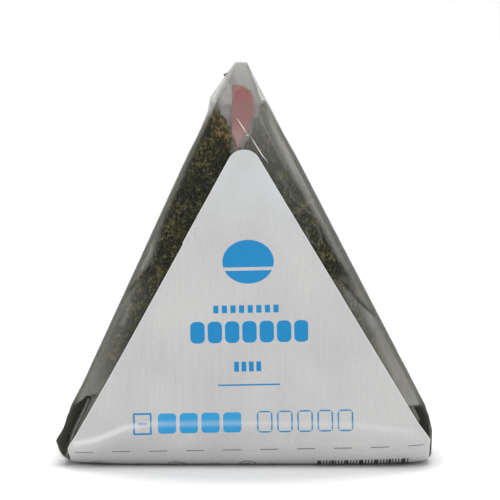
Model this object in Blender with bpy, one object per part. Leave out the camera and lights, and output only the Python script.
"""A rice ball in its shop wrapper.

Three pieces: the sealed film pack that stands on its base and narrows to a pinched tip, the paper
label that runs down the front, under the base and up the back, and the tear tape on the back,
whose end stands out beside the tip.  Metres, +Z up, the front towards -Y, the floor at Z = 0.
"""

import math

import bmesh
import bpy
import numpy as np

# The pack.  An outline is a short list of (height, x) corners, joined by straight lines.
TIP_HEIGHT = 0.1048
LEFT_EDGE = (
    (0.0005, -0.0472),
    (0.0016, -0.0477),
    (0.0060, -0.0480),
    (0.0130, -0.0466),
    (0.0172, -0.0448),
    (0.0920, -0.0095),
    (0.0955, -0.0089),
    (TIP_HEIGHT, -0.0024),
)
RIGHT_EDGE = (
    (0.0005, 0.0488),
    (0.0016, 0.0493),
    (0.0090, 0.0494),
    (0.0130, 0.0485),
    (TIP_HEIGHT, 0.0007),
)
BASE_HALF_DEPTH = 0.0195
TIP_HALF_DEPTH = 0.0011
DEPTH_HOLDS = 4.5  # the higher this power, the further up the pack keeps its depth
DEPTH_CLOSES = 0.9
BASE_ROUNDING = 0.0080
BASE_SQUARENESS = 10.0  # powers of the section: 2 is an ellipse, 10 nearly a rectangle
TIP_SQUARENESS = 4.0
SQUARENESS_FALLS = 1.5
FOOT_LIFT = 0.0009  # the foot's two ends curve up this much, so the pack stands on its middle
FOOT_FLAT = 0.0270
FOOT_LIFT_FADES = 0.0140

# The film's folds, as heights above the plain pack.
SEAM_HEIGHT = 0.0005
SEAM_HALF_WIDTH = 0.0040
SEAM_OFFSET = 0.0030
SEAM_START = 0.0040
SEAM_FADES = 0.0100
PLEAT_HEIGHT = 0.0006
PLEAT_TOP = 0.0200
PLEAT_PITCH = 0.0085
PLEAT_START = 0.0040
PLEAT_FADES = 0.0080
EAR_LENGTH = 0.0019
EAR_HEIGHT = 0.0056
EAR_HALF_HEIGHT = 0.0042
EAR_OFFSET = -0.0105
EAR_HALF_DEPTH = 0.0045

# The label, laid out flat: its centre line is p = 0, and q is the way along the pack from the
# middle of the base, up the front where it is positive and up the back where it is negative.
GAP = 0.0003
LABEL_THICKNESS = 0.0002
LABEL_TURN = math.radians(1.07)
LABEL_SHIFT = 0.0017
LABEL_TOP_HEIGHT = 0.0823
LABEL_TOP_RADIUS = 0.0045
LABEL_HALF_ANGLE = math.radians(30.0)
LABEL_HALF_WIDTH = 0.0465
LABEL_BACK_HEIGHT = 0.0440
LABEL_BACK_CORNER = 0.0050

# The tear tape.
TAPE_WIDTH = 0.0020
TAPE_THICKNESS = 0.0002
TAPE_PATH = (  # (x, height) on the back, from the label to the end beside the tip
    (0.0012, 0.0475),
    (0.0004, 0.0700),
    (-0.0010, 0.0900),
    (-0.0020, 0.0975),
    (-0.0050, 0.1022),
)
TAPE_TURN_OFF = 0.80  # past this share of the half width, the tape leaves the film

# How finely the surfaces are cut up.
QUARTER_STEPS = 20
QUARTER_SAMPLES = 400
SIDE_WEIGHT = 2.2
ROUNDING_STEPS = 6
BODY_STEPS = 24
TIP_STEPS = 10
TIP_REGION = 0.0880
LABEL_COLUMNS = 14
LABEL_TOP_ROWS = 5
LABEL_ROW_LENGTH = 0.0045
BEND_ROW_LENGTH = 0.0020
TAPE_ROWS = 26
LABEL_END_TURN = 0.12  # the rounded top starts and the lower corners end this share of a turn short
NORMAL_STEP = 0.0002
TAPE_LOOK_AHEAD = 0.01
SHARP_ANGLE = math.radians(40.0)

UNDERSIDE = GAP + LABEL_THICKNESS


def remove_scene_objects():
    for old in list(bpy.data.objects):
        bpy.data.objects.remove(old, do_unlink=True)


def make_collection(name):
    collection = bpy.data.collections.new(name)
    bpy.context.scene.collection.children.link(collection)
    return collection


def make_material(name, colour, roughness, metallic=0.0):
    material = bpy.data.materials.new(name)
    material.use_nodes = True
    shader = material.node_tree.nodes["Principled BSDF"]
    shader.inputs["Base Color"].default_value = (*colour, 1.0)
    shader.inputs["Roughness"].default_value = roughness
    shader.inputs["Metallic"].default_value = metallic
    return material


def smooth_fade(value):
    """0 below 0, 1 above 1, and an even curve between."""
    value = min(max(value, 0.0), 1.0)
    return value * value * (3.0 - 2.0 * value)


# ---- the pack's form ----


def edge_at(outline, height):
    heights, places = zip(*outline)
    return float(np.interp(height, heights, places))


def half_depth(height):
    share = min(max(height / TIP_HEIGHT, 0.0), 1.0)
    body = (1.0 - share**DEPTH_HOLDS) ** DEPTH_CLOSES
    depth = TIP_HALF_DEPTH + (BASE_HALF_DEPTH - TIP_HALF_DEPTH) * body
    above = height - UNDERSIDE
    if above < BASE_ROUNDING:
        lean = 1.0 - max(above, 0.0) / BASE_ROUNDING
        depth -= BASE_ROUNDING * (1.0 - math.sqrt(1.0 - lean * lean))
    return depth


def foot_lift(x, height):
    """How far a point is raised by the foot's curved ends; none further up the pack."""
    outwards = max(0.0, abs(x) - FOOT_FLAT) / (-LEFT_EDGE[0][1] - FOOT_FLAT)
    return FOOT_LIFT * outwards * outwards * smooth_fade(1.0 - height / FOOT_LIFT_FADES)


def squareness(height):
    share = min(max(height / TIP_HEIGHT, 0.0), 1.0)
    return TIP_SQUARENESS + (BASE_SQUARENESS - TIP_SQUARENESS) * (1.0 - share) ** SQUARENESS_FALLS


def section(height):
    """The pack's level section: its middle, half width, half depth and squareness."""
    left = edge_at(LEFT_EDGE, height)
    right = edge_at(RIGHT_EDGE, height)
    return (left + right) / 2, (right - left) / 2, half_depth(height), squareness(height)


def depth_at(x, height, most_share=1.0):
    """How far the front or back stands from the middle plane."""
    middle, half_width, depth, power = section(height)
    share = min(abs(x - middle) / half_width, most_share)
    return depth * (1.0 - share**power) ** (1.0 / power)


def quarter_ring(half_width, depth, power):
    """A quarter of the section, with its points closer where it bends and along the side."""
    turn = np.linspace(0.0, math.pi / 2, QUARTER_SAMPLES)
    x = half_width * np.cos(turn) ** (2.0 / power)
    y = depth * np.sin(turn) ** (2.0 / power)
    x[-1] = 0.0
    run_x, run_y = np.abs(np.diff(x)), np.abs(np.diff(y))
    slope = np.arctan2(run_x, run_y)
    weight = run_x / half_width + SIDE_WEIGHT * run_y / depth / 2
    weight += np.abs(np.gradient(slope)) / (math.pi / 4)
    along = np.concatenate([[0.0], np.cumsum(weight)])
    wanted = np.linspace(0.0, along[-1], QUARTER_STEPS + 1)
    return np.interp(wanted, along, x), np.interp(wanted, along, y)


def fold_height(x, y, height, facing):
    """The overlapped seam, the pleats over the base corners and the left ear.  They show on the
    two slanted sides; facing is -1 on the left one, +1 on the right one, near 0 between."""
    on_side = smooth_fade(abs(facing) * 2.0 - 1.0)
    if on_side == 0.0:
        return 0.0
    seam = max(0.0, 1.0 - abs(y - SEAM_OFFSET) / SEAM_HALF_WIDTH)
    seam *= smooth_fade((TIP_REGION - height) / SEAM_FADES)
    seam *= smooth_fade((height - SEAM_START) / SEAM_FADES)
    fan = smooth_fade((PLEAT_TOP - height) / PLEAT_FADES) * smooth_fade(height / PLEAT_START)
    pleat = 0.5 - 0.5 * math.cos(2.0 * math.pi * y / PLEAT_PITCH)
    lift = SEAM_HEIGHT * seam + PLEAT_HEIGHT * fan * pleat
    if facing < 0.0:
        ear = max(0.0, 1.0 - abs(height - EAR_HEIGHT) / EAR_HALF_HEIGHT)
        ear *= max(0.0, 1.0 - abs(y - EAR_OFFSET) / EAR_HALF_DEPTH)
        lift += EAR_LENGTH * ear
    elif height < PLEAT_TOP:
        lift -= PLEAT_HEIGHT * fan * pleat
    return lift * on_side


def ring(height):
    """All round the section at this height, from +X by way of +Y."""
    middle, half_width, depth, power = section(height)
    x, y = quarter_ring(half_width, depth, power)
    around = list(zip(x, y))
    around += [(-a, b) for a, b in reversed(around[:-1])]
    around += [(a, -b) for a, b in reversed(around[1:-1])]
    points = []
    for a, b in around:
        out_x = math.copysign(abs(a / half_width) ** (power - 1) / half_width, a)
        out_y = math.copysign(abs(b / depth) ** (power - 1) / depth, b)
        length = math.hypot(out_x, out_y)
        lift = fold_height(middle + a, b, height, out_x / length)
        x, y = middle + a + out_x / length * lift, b + out_y / length * lift
        points.append((x, y, height + foot_lift(x, height)))
    return points


def pack_levels():
    """Heights of the sections: close in the base's rounding, even above, closer near the tip."""
    levels = []
    for step in range(ROUNDING_STEPS):
        angle = math.pi / 2 * step / ROUNDING_STEPS
        levels.append(UNDERSIDE + BASE_ROUNDING * (1.0 - math.cos(angle)))
    body_start = UNDERSIDE + BASE_ROUNDING
    levels += list(np.linspace(body_start, TIP_REGION, BODY_STEPS, endpoint=False))
    levels += list(np.linspace(TIP_REGION, TIP_HEIGHT, TIP_STEPS + 1))
    return levels


# ---- building meshes ----


def finish_object(name, mesh, material, collection):
    mesh.materials.append(material)
    mesh.shade_smooth()
    mesh.set_sharp_from_angle(angle=SHARP_ANGLE)
    made = bpy.data.objects.new(name, mesh)
    collection.objects.link(made)
    return made


def mesh_from(name, build):
    """Fills a mesh with what build adds to it, its faces turned outwards."""
    shape = bmesh.new()
    build(shape)
    bmesh.ops.recalc_face_normals(shape, faces=shape.faces)
    mesh = bpy.data.meshes.new(name)
    shape.to_mesh(mesh)
    shape.free()
    return mesh


def build_pack(shape):
    rings = [[shape.verts.new(point) for point in ring(level)] for level in pack_levels()]
    count = len(rings[0])
    for lower, upper in zip(rings, rings[1:]):
        for i in range(count):
            j = (i + 1) % count
            shape.faces.new((lower[i], lower[j], upper[j], upper[i]))
    shape.faces.new(list(reversed(rings[0])))
    shape.faces.new(rings[-1])


def build_sheet(shape, rows):
    """A closed thin sheet from rows of (inner point, outer point) pairs."""
    inner = [[shape.verts.new(pair[0]) for pair in row] for row in rows]
    outer = [[shape.verts.new(pair[1]) for pair in row] for row in rows]
    last_row, last_column = len(rows) - 1, len(rows[0]) - 1
    for r in range(last_row):
        for c in range(last_column):
            shape.faces.new((outer[r][c], outer[r][c + 1], outer[r + 1][c + 1], outer[r + 1][c]))
            shape.faces.new((inner[r][c], inner[r + 1][c], inner[r + 1][c + 1], inner[r][c + 1]))
    for r in range(last_row):
        shape.faces.new((inner[r][0], outer[r][0], outer[r + 1][0], inner[r + 1][0]))
        right = last_column
        shape.faces.new((inner[r][right], inner[r + 1][right], outer[r + 1][right], outer[r][right]))
    for c in range(last_column):
        shape.faces.new((inner[0][c], inner[0][c + 1], outer[0][c + 1], outer[0][c]))
        shape.faces.new(
            (inner[last_row][c], outer[last_row][c], outer[last_row][c + 1], inner[last_row][c + 1])
        )


# ---- the label ----

BASE_FLAT = BASE_HALF_DEPTH - BASE_ROUNDING
BEND_LENGTH = BASE_ROUNDING * math.pi / 2
FACE_START = BASE_FLAT + BEND_LENGTH


def way_to_height(height):
    """How far along the pack, from the middle of the base, this height on a face is."""
    return FACE_START + height - UNDERSIDE - BASE_ROUNDING


def wrap_point(x, way):
    """The pack's plain surface at x, this far along from the middle of the base."""
    side = -1.0 if way > 0.0 else 1.0
    way = abs(way)
    if way <= BASE_FLAT:
        middle, half_width, depth, power = section(UNDERSIDE)
        share = min(abs(x - middle) / half_width, 1.0)
        reach = (1.0 - share**power) ** (1.0 / power)
        return np.array((x, side * way * reach, UNDERSIDE + foot_lift(x, UNDERSIDE)))
    if way < FACE_START:
        angle = (way - BASE_FLAT) / BASE_ROUNDING
        height = UNDERSIDE + BASE_ROUNDING * (1.0 - math.cos(angle))
    else:
        height = UNDERSIDE + BASE_ROUNDING + way - FACE_START
    return np.array((x, side * depth_at(x, height), height + foot_lift(x, height)))


def off_surface(x, way, distance):
    """A point this far outside the pack's plain surface."""
    across = wrap_point(x + NORMAL_STEP, way) - wrap_point(x - NORMAL_STEP, way)
    along = wrap_point(x, way + NORMAL_STEP) - wrap_point(x, way - NORMAL_STEP)
    normal = np.cross(across, along)
    return wrap_point(x, way) + normal / np.linalg.norm(normal) * distance


def label_half_width(q):
    """Half the flat label's width at q: a triangle with a rounded top over the front, straight
    over the foot, and a lower panel with rounded corners up the back."""
    top = way_to_height(LABEL_TOP_HEIGHT)
    bottom = -way_to_height(LABEL_BACK_HEIGHT)
    centre = top - LABEL_TOP_RADIUS
    tangent = centre + LABEL_TOP_RADIUS * math.sin(LABEL_HALF_ANGLE)
    if q > tangent:
        return math.sqrt(max(LABEL_TOP_RADIUS**2 - (q - centre) ** 2, 0.0))
    slope = math.tan(LABEL_HALF_ANGLE)
    sharp_top = centre + LABEL_TOP_RADIUS / math.sin(LABEL_HALF_ANGLE)
    width = min(LABEL_HALF_WIDTH, (sharp_top - q) * slope, (sharp_top + q) * slope)
    into_corner = bottom + LABEL_BACK_CORNER - q
    if into_corner > 0.0:
        width -= LABEL_BACK_CORNER - math.sqrt(max(LABEL_BACK_CORNER**2 - into_corner**2, 0.0))
    return width


def label_rows():
    """Where the label's rows lie: close at the rounded top and round the bends."""
    top = way_to_height(LABEL_TOP_HEIGHT)
    bottom = -way_to_height(LABEL_BACK_HEIGHT)
    rows = []
    for step in range(LABEL_TOP_ROWS):
        angle = math.pi / 2 * (LABEL_END_TURN + (1.0 - LABEL_END_TURN) * step / LABEL_TOP_ROWS)
        rows.append(top - LABEL_TOP_RADIUS * (1.0 - math.cos(angle)))
    q = top - LABEL_TOP_RADIUS
    corner_start = bottom + LABEL_BACK_CORNER
    while q > corner_start:
        rows.append(q)
        near_bend = abs(abs(q) - (BASE_FLAT + FACE_START) / 2) < BEND_LENGTH / 2 + LABEL_ROW_LENGTH
        q -= BEND_ROW_LENGTH if near_bend else LABEL_ROW_LENGTH
    for step in range(LABEL_TOP_ROWS):
        angle = math.pi / 2 * (1.0 - LABEL_END_TURN) * step / (LABEL_TOP_ROWS - 1)
        rows.append(corner_start - LABEL_BACK_CORNER * math.sin(angle))
    return rows


def build_label(shape):
    rows = []
    for q in label_rows():
        half = label_half_width(q)
        row = []
        for column in range(LABEL_COLUMNS + 1):
            p = half * math.sin(math.pi / 2 * (2.0 * column / LABEL_COLUMNS - 1.0))
            x = LABEL_SHIFT + p * math.cos(LABEL_TURN) - q * math.sin(LABEL_TURN)
            way = q * math.cos(LABEL_TURN) + p * math.sin(LABEL_TURN)
            row.append((off_surface(x, way, GAP), off_surface(x, way, GAP + LABEL_THICKNESS)))
        rows.append(row)
    build_sheet(shape, rows)


# ---- the tear tape ----


def tape_middle(share):
    """A smooth line through the path's points, at this share of its way."""
    points = np.array(TAPE_PATH)
    place = share * (len(points) - 1)
    first = min(int(place), len(points) - 2)
    t = place - first
    before = points[max(first - 1, 0)]
    after = points[min(first + 2, len(points) - 1)]
    start, end = points[first], points[first + 1]
    lead_in, lead_out = (end - before) / 2, (after - start) / 2
    return (
        (2 * t**3 - 3 * t**2 + 1) * start
        + (t**3 - 2 * t**2 + t) * lead_in
        + (3 * t**2 - 2 * t**3) * end
        + (t**3 - t**2) * lead_out
    )


def build_tape(shape):
    rows = []
    for step in range(TAPE_ROWS + 1):
        share = step / TAPE_ROWS
        x, height = tape_middle(share)
        ahead = tape_middle(min(share + TAPE_LOOK_AHEAD, 1.0))
        ahead -= tape_middle(max(share - TAPE_LOOK_AHEAD, 0.0))
        ahead /= np.linalg.norm(ahead)
        row = []
        for side in (-0.5, 0.5):
            edge_x = x + side * TAPE_WIDTH * ahead[1]
            edge_height = height - side * TAPE_WIDTH * ahead[0]
            depth = depth_at(edge_x, min(edge_height, TIP_HEIGHT), TAPE_TURN_OFF)
            inner = (edge_x, depth + GAP, edge_height)
            outer = (edge_x, depth + GAP + TAPE_THICKNESS, edge_height)
            row.append((inner, outer))
        rows.append(row)
    build_sheet(shape, rows)


def main():
    remove_scene_objects()
    collection = make_collection("wrapped_rice_ball")
    pieces = (
        ("film_pack", build_pack, make_material("film_over_seaweed", (0.15, 0.15, 0.11), 0.35)),
        ("label", build_label, make_material("label_paper", (0.58, 0.58, 0.58), 0.45)),
        ("tear_tape", build_tape, make_material("red_tape", (0.22, 0.02, 0.04), 0.40)),
    )
    for name, build, material in pieces:
        finish_object(name, mesh_from(name, build), material, collection)


main()
